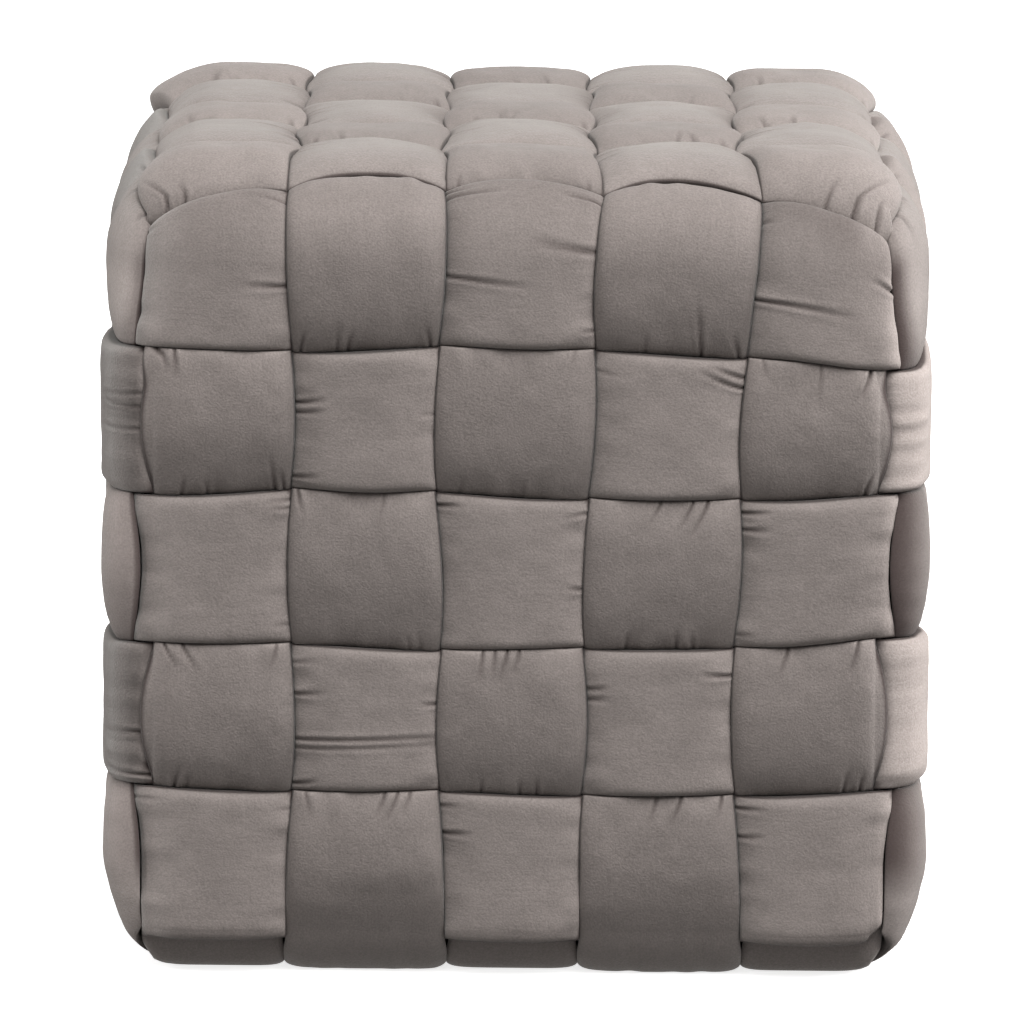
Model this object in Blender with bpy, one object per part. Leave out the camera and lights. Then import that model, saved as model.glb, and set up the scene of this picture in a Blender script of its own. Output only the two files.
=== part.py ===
"""Cube pouf stool covered by fifteen padded velvet bands in plain over-and-under weave.

Metres, +Z up, front towards -Y.  The origin is on the floor, under the middle of the pouf.
The bands are laid out on the sharp-edged shape of the block that carries them, face by face:
a place is a point of that shape plus a height above it, and on_block() bends both round the
block's rounded edges.
"""
import math

import bmesh
import bpy
from mathutils import Vector

# carrying block
HALF = 0.204            # half of the block's side, to its sharp edges
TOP = 0.4315            # its top face above the floor
EDGE = 0.006            # rounding of its vertical and top edges
BOTTOM_EDGE = 0.022     # rounding of its bottom edge
REBATE = 0.0055         # height of the step under its rim, where the band ends lie
PLINTH = 0.148          # half of the flat middle that stands on the floor
BLOCK_EASE = 0.0002     # how far the block's skin stays inside its nominal shape

# bands
CELLS = 5               # squares along each face
MIDDLE_BAND = 3
PITCH = 2 * HALF / CELLS
CROWN = 0.0262          # top of the arc of an over square; its facets lie 2 mm lower
SIDE = 0.011            # height of the widest point of a band's rounded edge
TUCK = 0.006            # width of the rounded underside of that edge
OVER_INNER = 0.0056     # inner skin where a band passes over another
UNDER_OUTER = 0.005     # outer skin where it passes under
UNDER_INNER = 0.0003    # inner skin there, just clear of the block
CORNER_INNER = 0.0012   # the same beside an edge of the block, where a long facet cuts the curve
SEAM = 0.0004           # clearance between a band's dive and its neighbour's edge
DIVE_OUTER = 0.0102     # outer skin where a band starts to dive, a little below SIDE
UNDER_HALF = 0.035      # half width of a band where it is squeezed under another
DIVE_INNER = 0.003      # inner skin where a band starts to dive
CREST_POWER = 2.4       # lengthwise arc of an over square
FLAT_POWER = 4.0        # crosswise crown, flat with rounded edges
HOOP_HALF = 0.0398      # half widths of the over squares
SIDE_HALF = 0.0425
TOP_HALF = 0.0405
CREST_SPREAD = 0.05     # how unlike the crowns of the squares are, as a share

ARC_STATIONS = (1.0, 0.88, 0.45)    # shares of the way from a square's middle to its end
DIVE_SHARE = 0.45                   # share of a square's extra width that is left at its end
SECTION_SHARES = (-1.0, -0.9, -0.55, 0.55, 0.9, 1.0)

# turned-under ends
BEND_START = BOTTOM_EDGE + REBATE   # height where the bottom rounding begins
TAIL = 0.033                        # flat length of a band end under the block
MITRE = 0.0004                      # clearance between two band ends at a corner
MITRE_SLACK = 0.0025                # what an end may still overhang the diagonal as it bends in
SHOULDER = (0.0184, 0.0215)         # run below the middle of a last over square, outer skin there
SKIRT_MM = (
    # share of the bottom bend, outer skin, inner skin, half width, below an over square
    (0.10, 14.5, 5.6, 42.5),
    (1 / 3, 9.0, 0.8, 44.5),
    (2 / 3, 6.6, 0.4, 43.0),
    (1.0, 5.5, 0.3, 36.5),
)
STRIP_MM = (
    # the same below an under square
    (0.0, 5.0, 0.3, 35.0),
    (1 / 3, 5.0, 0.3, 36.5),
    (2 / 3, 5.3, 0.3, 36.5),
    (1.0, 5.5, 0.3, 36.5),
)
TAIL_HALF = 0.0345                  # half width of a band's cut end

# Where the weave lies off its even grid: place along the sides from the middle of the front
# (rightwards, round the corners) and height; then the shift there and how far it reaches.
SHIFTS_MM = (
    # along, height, shift along, shift up, reach
    (204, 350, 0, -9, 46),
    (150, 434, 3, 0, 34),
    (82, 434, 2, -1, 38),
    (-163, 434, 0, -2.5, 30),
    (-100, 268, 0, 5, 44),
    (-41, 268, -2, 2, 36),
    (200, 268, 0, 5, 40),
    (192, 187, 0, 6, 42),
    (41, 187, -3, -1, 36),
    (-41, 187, 1, -3, 34),
    (120, 187, -2, 0, 36),
    (-200, 105, 3, 3, 42),
    (41, 105, -3, -1, 38),
    (196, 105, 0, 3, 40),
    (-41, 44, 4, 0, 34),
    (41, 350, 1, 2, 34),
)
HIDDEN_SHIFT = 0.0016   # like shifts on the sides that the front does not show
HIDDEN_REACH = 0.036
CORNER_CALM = 0.03      # no shift within this distance of the top corners
EDGE_CALM = 0.025       # no shift along the face within this distance of its side edges

VELVET_COLOUR = (0.235, 0.205, 0.190, 1.0)
BLOCK_COLOUR = (0.060, 0.052, 0.048, 1.0)

FACE_RIGHT = (Vector((1, 0, 0)), Vector((0, 1, 0)), Vector((-1, 0, 0)), Vector((0, -1, 0)))
FACE_OUT = (Vector((0, -1, 0)), Vector((1, 0, 0)), Vector((0, 1, 0)), Vector((-1, 0, 0)))


def smooth(value):
    value = min(max(value, 0.0), 1.0)
    return value * value * (3 - 2 * value)


def clear_scene():
    for item in list(bpy.data.objects):
        bpy.data.objects.remove(item, do_unlink=True)


def make_material(name, colour, roughness):
    material = bpy.data.materials.new(name)
    material.use_nodes = True
    shader = material.node_tree.nodes["Principled BSDF"]
    shader.inputs["Base Color"].default_value = colour
    shader.inputs["Roughness"].default_value = roughness
    shader.inputs["Metallic"].default_value = 0.0
    return material


# the shape of the block, and places on it

def on_block(point, height):
    """Place of a point of the sharp shape, lifted by height square to the rounded block."""
    inner = HALF - EDGE
    core = Vector((
        min(max(point.x, -inner), inner),
        min(max(point.y, -inner), inner),
        min(point.z, TOP - EDGE),
    ))
    normal = (point - core).normalized()
    if point.z >= BEND_START:
        return core + normal * (EDGE + height)
    run = BEND_START - point.z
    angle = min(run / BOTTOM_EDGE, math.pi / 2)
    inward = max(run - BOTTOM_EDGE * math.pi / 2, 0.0)
    radius = BOTTOM_EDGE + height
    out = radius * math.cos(angle) - BOTTOM_EDGE - inward
    place = core + normal * (EDGE + out)
    place.z = BEND_START - radius * math.sin(angle)
    return place


def side_point(side, across, height):
    """Point of the sharp shape on a side; what runs past an edge is folded onto the next face."""
    if height > TOP:
        inward = height - TOP
        return FACE_RIGHT[side] * across + FACE_OUT[side] * (HALF - inward) + Vector((0, 0, TOP))
    beyond = abs(across) - HALF
    if beyond > 0:
        turn = 1 if across > 0 else -1
        side = (side + turn) % 4
        across = turn * (beyond - HALF)
    return FACE_RIGHT[side] * across + FACE_OUT[side] * HALF + Vector((0, 0, height))


def top_point(flat):
    """The same for a point of the top face."""
    for side in range(4):
        beyond = flat.dot(FACE_OUT[side]) - HALF
        if beyond > 0:
            return side_point(side, flat.dot(FACE_RIGHT[side]), TOP - beyond)
    return Vector((flat.x, flat.y, TOP))


def shift_rows():
    """The measured shifts of the front, and small even-handed ones on the other sides."""
    rows = [tuple(value / 1000 for value in row) for row in SHIFTS_MM]
    for side in (1, 2, 3):
        for column in range(1, CELLS):
            for row in range(1, CELLS):
                turn = 2.4 * side + 1.9 * column + 3.1 * row
                along = (2 * side - 1) * HALF + column * PITCH
                push_along = HIDDEN_SHIFT * math.sin(turn)
                push_up = HIDDEN_SHIFT * math.cos(1.7 * turn)
                rows.append((along, TOP - row * PITCH, push_along, push_up, HIDDEN_REACH))
    return rows


SHIFT_ROWS = shift_rows()


def shift(side, across, height, own_only=False):
    """How far the weave is shifted at a place; height runs on past TOP over the top face."""
    around = 8 * HALF
    along = 2 * side * HALF + across
    edge_share = smooth((HALF - abs(across)) / EDGE_CALM)
    shift_along = 0.0
    shift_up = 0.0
    for place, level, push_along, push_up, reach in SHIFT_ROWS:
        if own_only and abs((place - 2 * side * HALF + around / 2) % around - around / 2) > HALF:
            continue
        distance = (along - place + around / 2) % around - around / 2
        share = math.exp(-(distance ** 2 + (height - level) ** 2) / reach ** 2)
        if level > TOP - PITCH / 2:
            share *= edge_share
        shift_along += push_along * share * edge_share
        shift_up += push_up * share
    calm = smooth(math.hypot(HALF - abs(across), TOP - height) / CORNER_CALM)
    return shift_along * calm, shift_up * calm


def shifted_side(side, across, height):
    shift_along, shift_up = shift(side, across, height)
    return side_point(side, across + shift_along, height + shift_up)


def shifted_top(x, y):
    flat = Vector((x, y, 0))
    moved = flat.copy()
    for side in range(4):
        inward = HALF - flat.dot(FACE_OUT[side])
        if inward < PITCH:
            across = flat.dot(FACE_RIGHT[side])
            shift_along, shift_up = shift(side, across, TOP + inward, own_only=True)
            moved += FACE_RIGHT[side] * shift_along - FACE_OUT[side] * shift_up
    return top_point(moved)


# the run of each band: square by square, over or under

def hoop_run(row):
    """Squares of a hoop round the four sides; row 0 is the top one."""
    squares = []
    for number in range(4 * CELLS):
        squares.append({
            "centre": (number + 0.5) * PITCH,
            "over": (number + row) % 2 == 0,
            "half": HOOP_HALF,
            "cross_before": SIDE_HALF,
            "cross_after": SIDE_HALF,
            "edge_before": number % CELLS == 0,
            "edge_after": number % CELLS == CELLS - 1,
            "turn": number + 20 * row,
        })
    return squares


def upright_run(band, front_back):
    """Squares of a band up one side, over the top and down the far side.

    Squares are numbered from the middle of the top; band counts from 1, left to right or front
    to back.
    """
    reach = (3 * CELLS - 1) // 2
    top_reach = CELLS // 2
    squares = []
    for number in range(-reach, reach + 1):
        even = (band + number + top_reach + 1) % 2 == 0
        squares.append({
            "centre": number * PITCH,
            "over": even == front_back,
            "half": TOP_HALF if abs(number) <= top_reach else SIDE_HALF,
            "cross_before": TOP_HALF if abs(number - 1) <= top_reach else HOOP_HALF,
            "cross_after": TOP_HALF if abs(number + 1) <= top_reach else HOOP_HALF,
            "edge_before": number in (-top_reach, top_reach + 1),
            "edge_after": number in (-top_reach - 1, top_reach),
            "turn": 7 * number + 11 * band + (3 if front_back else 40),
        })
    return squares


def hoop_place(row, run, across):
    side = int(run // (2 * HALF)) % 4
    local = run % (2 * HALF) - HALF
    return shifted_side(side, local, TOP - (row + 0.5) * PITCH + across)


def upright_place(band, front_back, run, across):
    lateral = (band - MIDDLE_BAND) * PITCH + across
    if abs(run) < HALF:
        return shifted_top(lateral, run) if front_back else shifted_top(run, lateral)
    height = TOP - (abs(run) - HALF)
    if front_back:
        side, mirror = (0, 1) if run < 0 else (2, -1)
    else:
        side, mirror = (3, -1) if run < 0 else (1, 1)
    return shifted_side(side, mirror * lateral, height)


# cross sections along a run

def over_sections(square):
    """Stations of an over square: arc, ends, and the dive under the band beside it."""
    stations = []
    for sign, name in ((-1, "before"), (1, "after")):
        end = PITCH - square["cross_" + name] - SEAM
        tucked = CORNER_INNER if square["edge_" + name] else UNDER_INNER
        half = square["half"]
        crown = CROWN * (1 - CREST_SPREAD * (0.5 + 0.5 * math.sin(square["turn"])))
        rows = [{
            "run": square["centre"] + sign * (end + TUCK),
            "left": UNDER_HALF, "right": UNDER_HALF,
            "outer": UNDER_OUTER, "inner": tucked, "flat": True,
        }]
        for share in ARC_STATIONS:
            rise = (1 - share ** CREST_POWER) ** 0.5
            at_end = share == 1.0
            width = UNDER_HALF + (half - UNDER_HALF) * (DIVE_SHARE if at_end else 1.0)
            rows.append({
                "run": square["centre"] + sign * end * share,
                "left": width, "right": width,
                "outer": DIVE_OUTER if at_end else SIDE + (crown - SIDE) * rise,
                "inner": DIVE_INNER if at_end else OVER_INNER, "flat": at_end,
            })
        stations.append(rows if sign < 0 else rows[::-1])
    return stations[0] + stations[1]


def end_sections(square, sign):
    """Stations below the last square: round the bottom edge and in under the block."""
    drop = TOP - (abs(square["centre"]) - HALF) - BEND_START
    bend = BOTTOM_EDGE * math.pi / 2
    rows = []
    if square["over"]:
        rows.append((*SHOULDER, OVER_INNER, SIDE_HALF))
    for share, outer, inner, width in SKIRT_MM if square["over"] else STRIP_MM:
        rows.append((drop + bend * share, outer / 1000, inner / 1000, width / 1000))
    rows.append((drop + bend + TAIL, REBATE, UNDER_INNER, TAIL_HALF))
    stations = []
    for place, outer, inner, width in rows:
        stations.append({
            "run": square["centre"] + sign * place,
            "left": width, "right": width,
            "outer": outer, "inner": inner, "flat": outer < SIDE,
        })
    return stations


def mitre_ends(stations, band):
    """Draw in the corner side of an end band under the block, along the corner's diagonal."""
    centre = (band - MIDDLE_BAND) * PITCH
    for station in stations:
        run = abs(station["run"]) - HALF - (TOP - BEND_START)
        if run <= 0:
            continue
        angle = min(run / BOTTOM_EDGE, math.pi / 2)
        inward = BOTTOM_EDGE * (1 - math.cos(angle)) + max(run - BOTTOM_EDGE * math.pi / 2, 0.0)
        slack = MITRE_SLACK * max(1 - math.degrees(angle) / 30, 0.0)
        limit = HALF - inward - MITRE + slack - abs(centre)
        key = "left" if centre < 0 else "right"
        station[key] = min(station[key], limit)


def section_points(station):
    """Points round a section as (across, height): outer skin left to right, then the inner."""
    outer = station["outer"]
    inner = station["inner"]
    left = station["left"]
    right = station["right"]
    rim = (outer + inner) / 2 if station["flat"] else SIDE
    middle = (right - left) / 2
    half = (right + left) / 2
    points = []
    for share in SECTION_SHARES:
        if abs(share) == 1.0:
            height = rim
        elif station["flat"]:
            height = outer
        else:
            height = SIDE + (outer - SIDE) * (1 - abs(share) ** FLAT_POWER) ** 0.5
        points.append((middle + share * half, height))
    points.append((right - TUCK, inner))
    points.append((TUCK - left, inner))
    return points


def band_mesh(name, stations, place, closed):
    """Solid through a band's sections; an open band gets a flat cap at each end."""
    shape = bmesh.new()
    rings = []
    for station in stations:
        ring = []
        for across, height in section_points(station):
            ring.append(shape.verts.new(on_block(place(station["run"], across), height)))
        rings.append(ring)
    count = len(rings[0])
    last = len(rings) if closed else len(rings) - 1
    for number in range(last):
        near = rings[number]
        far = rings[(number + 1) % len(rings)]
        for corner in range(count):
            after = (corner + 1) % count
            shape.faces.new((near[corner], near[after], far[after], far[corner]))
    if not closed:
        shape.faces.new(rings[0])
        shape.faces.new(rings[-1])
    bmesh.ops.triangulate(shape, faces=shape.faces)
    bmesh.ops.recalc_face_normals(shape, faces=shape.faces)
    for face in shape.faces:
        face.smooth = True
    mesh = bpy.data.meshes.new(name)
    shape.to_mesh(mesh)
    shape.free()
    return mesh


def add_band(name, stations, place, closed):
    mesh = band_mesh(name, stations, place, closed)
    mesh.materials.append(make_material(name + "_velvet", VELVET_COLOUR, 0.8))
    band = bpy.data.objects.new(name, mesh)
    bpy.context.scene.collection.objects.link(band)


def add_hoops():
    for row in range(CELLS):
        stations = []
        for square in hoop_run(row):
            if square["over"]:
                stations += over_sections(square)

        def place(run, across, row=row):
            return hoop_place(row, run % (8 * HALF), across)

        add_band(f"hoop_{row + 1}", stations, place, closed=True)


def add_uprights(front_back):
    for band in range(1, CELLS + 1):
        squares = upright_run(band, front_back)
        stations = []
        for square in squares:
            if square["over"]:
                stations += over_sections(square)
        if squares[0]["over"]:
            half = len(over_sections(squares[0])) // 2
            stations = stations[half:-half]
        stations = end_sections(squares[0], -1)[::-1] + stations + end_sections(squares[-1], 1)
        if band in (1, CELLS):
            mitre_ends(stations, band)

        def place(run, across, band=band):
            return upright_place(band, front_back, run, across)

        kind = "front_back_band" if front_back else "left_right_band"
        add_band(f"{kind}_{band}", stations, place, closed=False)


# the block

def rounded_square(half, radius, height, steps):
    """Ring of points of a square with rounded corners."""
    points = []
    for quarter in range(4):
        start = math.radians(90 * quarter)
        sign_x = 1 if quarter in (0, 3) else -1
        sign_y = 1 if quarter in (0, 1) else -1
        for step in range(steps + 1):
            angle = start + math.radians(90) * step / steps
            points.append(Vector((
                sign_x * (half - radius) + radius * math.cos(angle),
                sign_y * (half - radius) + radius * math.sin(angle),
                height,
            )))
    return points


def block_rings():
    """Level rings from the underside of the plinth up to the top face."""
    steps = 4
    small = 0.0012
    rings = [
        rounded_square(PLINTH, small, 0.0, steps),
        rounded_square(PLINTH, small, REBATE + BLOCK_EASE, steps),
    ]
    for degrees in (90, 60, 30, 0):
        angle = math.radians(degrees)
        radius = BOTTOM_EDGE - BLOCK_EASE
        half = HALF - BOTTOM_EDGE + radius * math.cos(angle)
        corner = max(EDGE - HALF + half, small)
        rings.append(rounded_square(half, corner, BEND_START - radius * math.sin(angle), steps))
    for degrees in (0, 22.5, 45, 67.5, 90):
        angle = math.radians(degrees)
        radius = EDGE - BLOCK_EASE
        half = HALF - EDGE + radius * math.cos(angle)
        corner = max(radius * math.cos(angle), 0.0002)
        rings.append(rounded_square(half, corner, TOP - EDGE + radius * math.sin(angle), steps))
    return rings


def add_block():
    shape = bmesh.new()
    rings = []
    for points in block_rings():
        rings.append([shape.verts.new(point) for point in points])
    for low, high in zip(rings, rings[1:]):
        for number, corner in enumerate(low):
            after = (number + 1) % len(low)
            shape.faces.new((corner, low[after], high[after], high[number]))
    shape.faces.new(rings[0][::-1])
    shape.faces.new(rings[-1])
    bmesh.ops.triangulate(shape, faces=shape.faces)
    bmesh.ops.recalc_face_normals(shape, faces=shape.faces)
    mesh = bpy.data.meshes.new("block")
    shape.to_mesh(mesh)
    shape.free()
    mesh.materials.append(make_material("block_cloth", BLOCK_COLOUR, 0.9))
    block = bpy.data.objects.new("block", mesh)
    bpy.context.scene.collection.objects.link(block)


def main():
    clear_scene()
    add_block()
    add_hoops()
    add_uprights(front_back=True)
    add_uprights(front_back=False)


main()
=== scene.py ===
import math

import bpy
import numpy as np
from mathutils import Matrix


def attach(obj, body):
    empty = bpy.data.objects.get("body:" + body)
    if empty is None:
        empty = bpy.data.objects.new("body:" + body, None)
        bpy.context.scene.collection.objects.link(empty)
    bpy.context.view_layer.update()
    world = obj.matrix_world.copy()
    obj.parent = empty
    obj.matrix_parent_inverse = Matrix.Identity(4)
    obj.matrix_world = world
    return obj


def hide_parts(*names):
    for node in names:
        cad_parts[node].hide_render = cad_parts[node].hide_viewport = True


# Cube pouf stool: fifteen padded velvet bands woven over a block, with floor, lights and camera.
# Lengths are in metres unless a name or a note says mm. The front looks towards -Y.

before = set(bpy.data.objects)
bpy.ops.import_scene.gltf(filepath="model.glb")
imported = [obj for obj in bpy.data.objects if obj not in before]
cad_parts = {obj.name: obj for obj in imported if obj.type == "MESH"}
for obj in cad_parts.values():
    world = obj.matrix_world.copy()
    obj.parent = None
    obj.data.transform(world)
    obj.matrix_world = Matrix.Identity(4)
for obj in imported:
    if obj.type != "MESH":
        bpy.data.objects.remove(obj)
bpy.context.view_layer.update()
print("pouf: frame loaded")

poufBlock = {
    "half": 0.204,           # half of its side, to the sharp edges
    "top": 0.4315,           # its top face above the floor
    "edge": 0.006,           # rounding of its vertical edges
    "topEdge": 0.034,        # rounding of its top edges
    "opening": (0.104, 0.07),    # how far below the top the upright edges widen, and over what run
    "bottomEdge": 0.022,     # rounding of its bottom edge
    "rebate": 0.0055,        # step under its rim where the band ends lie
    "plinth": 0.148,         # half of the flat middle that stands on the floor
    "squares": 5,            # squares of the weave along each face
    "sunk": 0.0002,          # how far its drawn skin lies inside these sizes
}
half = poufBlock["half"]
top = poufBlock["top"]
pitch = 2 * half / poufBlock["squares"]
middleBand = (poufBlock["squares"] + 1) // 2
bendStart = poufBlock["bottomEdge"] + poufBlock["rebate"]
# the four sides, front first and then round to the right: which way is right, which way is out
faceRight = np.array(((1, 0, 0), (0, 1, 0), (-1, 0, 0), (0, -1, 0)), float)
faceOut = np.array(((0, -1, 0), (1, 0, 0), (0, 1, 0), (-1, 0, 0)), float)


def smooth(value):
    value = np.clip(value, 0.0, 1.0)
    return value * value * (3 - 2 * value)


def rising(value, start, run):
    return smooth((value - start) / run)


def falling(value, end, run):
    return smooth((end - value) / run)


def wrapped(distance):
    # the short way round the block
    around = 8 * half
    return (distance + around / 2) % around - around / 2


def onBlock(points, lift):
    # places on the sharp block, lifted square to its rounded skin
    edge, topEdge, bottomEdge = (poufBlock[name] for name in ("edge", "topEdge", "bottomEdge"))
    depth, run = poufBlock["opening"]
    edge = edge + (topEdge - edge) * smooth((points[:, 2] - top + depth) / run)
    core = points.copy()
    core[:, 0] = np.clip(points[:, 0], edge - half, half - edge)
    core[:, 1] = np.clip(points[:, 1], edge - half, half - edge)
    core[:, 2] = np.minimum(points[:, 2], top - topEdge)
    normal = points - core
    normal /= np.linalg.norm(normal, axis=1)[:, None]
    places = core + normal * (edge + lift)[:, None]
    # the ends turn in under the bottom edge
    low = points[:, 2] < bendStart
    run = bendStart - points[low, 2]
    angle = np.minimum(run / bottomEdge, math.pi / 2)
    inward = np.maximum(run - bottomEdge * math.pi / 2, 0.0)
    radius = bottomEdge + lift[low]
    reach = edge[low] + radius * np.cos(angle) - bottomEdge - inward
    bent = core[low] + normal[low] * reach[:, None]
    bent[:, 2] = bendStart - radius * np.sin(angle)
    places[low] = bent
    return places


def sidePoints(side, across, height):
    # points of the sharp block's sides; what runs past an edge folds onto the next face
    onTop = height > top
    beyond = np.abs(across) - half
    turn = np.where(across > 0, 1, -1)
    folds = (beyond > 0) & ~onTop
    side = np.where(folds, (side + turn) % 4, side)
    across = np.where(folds, turn * (beyond - half), across)
    outward = np.where(onTop, half - (height - top), half)
    points = faceRight[side] * across[:, None] + faceOut[side] * outward[:, None]
    points[:, 2] = np.minimum(height, top)
    return points


# how the weave lies off its even grid, as the front shows it

weaveDrift = {
    # height of the crossings in mm: (drift right, drift up) in mm at the six lines of the front
    431.5: ((0, 0), (-3.3, 7.0), (0.8, 7.5), (4.9, 4.5), (9.5, 1.0), (0, 0)),
    349.9: ((0, 0.8), (0, -1.1), (-1.7, 2.5), (1.5, 1.6), (2.5, -1.9), (0, -8.7)),
    268.3: ((0, 1.1), (-0.2, 4.7), (-2.7, 3.9), (-0.9, 0.8), (0.5, 1.1), (0, 5.2)),
    186.7: ((0, 0.3), (0.1, 0.6), (0.6, -2.4), (-2.7, -0.5), (-2.1, 0.3), (0, 6.0)),
    105.1: ((0, 2.2), (1.0, -0.3), (0.2, 0.6), (-2.8, -1.4), (-0.9, -0.5), (0, 3.0)),
    23.5: ((0, 0), (-0.3, 0), (2.0, 0), (-1.6, 0), (1.4, 0), (0, 0)),
}
driftFeel = {
    "reach": 0.044,          # how far a crossing's drift is felt
    "hidden": 0.0018,        # drift on the sides that the front does not show
    "hiddenTurns": (2.4, 1.9, 3.1),    # radians its direction turns by for each side, column and row
    "upTurns": 1.7,          # how much faster its upward part turns
    "topRise": 0.006,        # how far the seam under the top's edge lies in over the rounding
    "topDrift": 0.0022,      # drift of the crossings on the top
    "topWaves": ((37, 61, 1.0), (53, -41, 2.0)),    # its waves in x and y: radians a metre, start
    "topCalm": 0.05,         # the top's own drift fades within this distance of its edges
    "cornerCalm": 0.03,      # no drift within this distance of the top corners
    "edgeCalm": 0.025,       # no drift along a face within this distance of its side edges
}


def driftList():
    # (place round the block, height, drift along, drift up) of every crossing
    rows = []
    for level, line in weaveDrift.items():
        for number, (right, up) in enumerate(line):
            rows.append((number * pitch - half, level / 1000, right / 1000, up / 1000))
    bySide, byColumn, byRow = driftFeel["hiddenTurns"]
    push = driftFeel["hidden"]
    for side in (1, 2, 3):
        for column in range(1, poufBlock["squares"]):
            for row in range(poufBlock["squares"]):
                turn = bySide * side + byColumn * column + byRow * row
                rise = driftFeel["topRise"] if row == 0 else 0.0
                rows.append((
                    (2 * side - 1) * half + column * pitch, top - row * pitch,
                    push * math.sin(turn), rise + push * math.cos(driftFeel["upTurns"] * turn),
                ))
    return rows


driftRows = driftList()


def weaveShift(side, across, height, ownOnly=False):
    along = 2 * side * half + across
    edgeShare = falling(np.abs(across), half, driftFeel["edgeCalm"])
    shiftAlong = np.zeros_like(across)
    shiftUp = np.zeros_like(across)
    for place, level, right, up in driftRows:
        if ownOnly and abs(wrapped(place - 2 * side * half)) > half:
            continue
        distance = wrapped(along - place)
        share = np.exp(-(distance ** 2 + (height - level) ** 2) / driftFeel["reach"] ** 2)
        if level > top - pitch / 2:
            share = share * edgeShare
        shiftAlong += right * share * edgeShare
        shiftUp += up * share
    calm = smooth(np.hypot(half - np.abs(across), top - height) / driftFeel["cornerCalm"])
    return shiftAlong * calm, shiftUp * calm


def sidePlaces(side, across, height):
    shiftAlong, shiftUp = weaveShift(side, across, height)
    return sidePoints(side, across + shiftAlong, height + shiftUp)


def topPlaces(x, y):
    flat = np.stack((x, y, np.zeros_like(x)), axis=1)
    moved = flat.copy()
    for side in range(4):
        across = flat @ faceRight[side]
        inward = half - flat @ faceOut[side]
        shiftAlong, shiftUp = weaveShift(side, across, top + inward, ownOnly=True)
        near = (inward < pitch)[:, None]
        moved += near * (faceRight[side] * shiftAlong[:, None] - faceOut[side] * shiftUp[:, None])
    push = driftFeel["topDrift"] * falling(np.maximum(np.abs(x), np.abs(y)), half, driftFeel["topCalm"])
    for axis, (byX, byY, start) in enumerate(driftFeel["topWaves"]):
        moved[:, axis] += push * np.sin(x * byX + y * byY + start)
    places = moved.copy()
    places[:, 2] = top
    for side in range(4):
        beyond = moved @ faceOut[side] - half
        over = beyond > 0
        if over.any():
            sides = np.full(over.sum(), side)
            places[over] = sidePoints(sides, moved[over] @ faceRight[side], top - beyond[over])
    return places


def hoopPlaces(row, run, across):
    # run counts round the block from the front's left edge
    run = run % (8 * half)
    side = (run // (2 * half)).astype(int) % 4
    return sidePlaces(side, run % (2 * half) - half, top - (row + 0.5) * pitch + across)


def uprightPlaces(band, frontBack, run, across):
    # run counts from the middle of the top, negative to the front or left
    lateral = (band - middleBand) * pitch + across
    onTop = np.abs(run) < half
    height = top - (np.abs(run) - half)
    first, second = (0, 2) if frontBack else (3, 1)
    mirror = np.where(run < 0, 1, -1) if frontBack else np.where(run < 0, -1, 1)
    side = np.where(run < 0, first, second)
    places = np.zeros((len(run), 3))
    if frontBack:
        # a top corner square that hangs over both edges gathers on the corner's line
        beyond = np.maximum(np.abs(lateral) - half, 0.0)
        gathered = (beyond > 0) & ~onTop
        height = np.where(gathered, np.minimum(height, top - beyond), height)
        lateral = np.where(gathered, np.clip(lateral, -half, half), lateral)
    down = ~onTop
    places[down] = sidePlaces(side[down], (mirror * lateral)[down], height[down])
    x, y = (lateral, run) if frontBack else (run, lateral)
    places[onTop] = topPlaces(x[onTop], y[onTop])
    return places


# creases that the photograph shows

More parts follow.
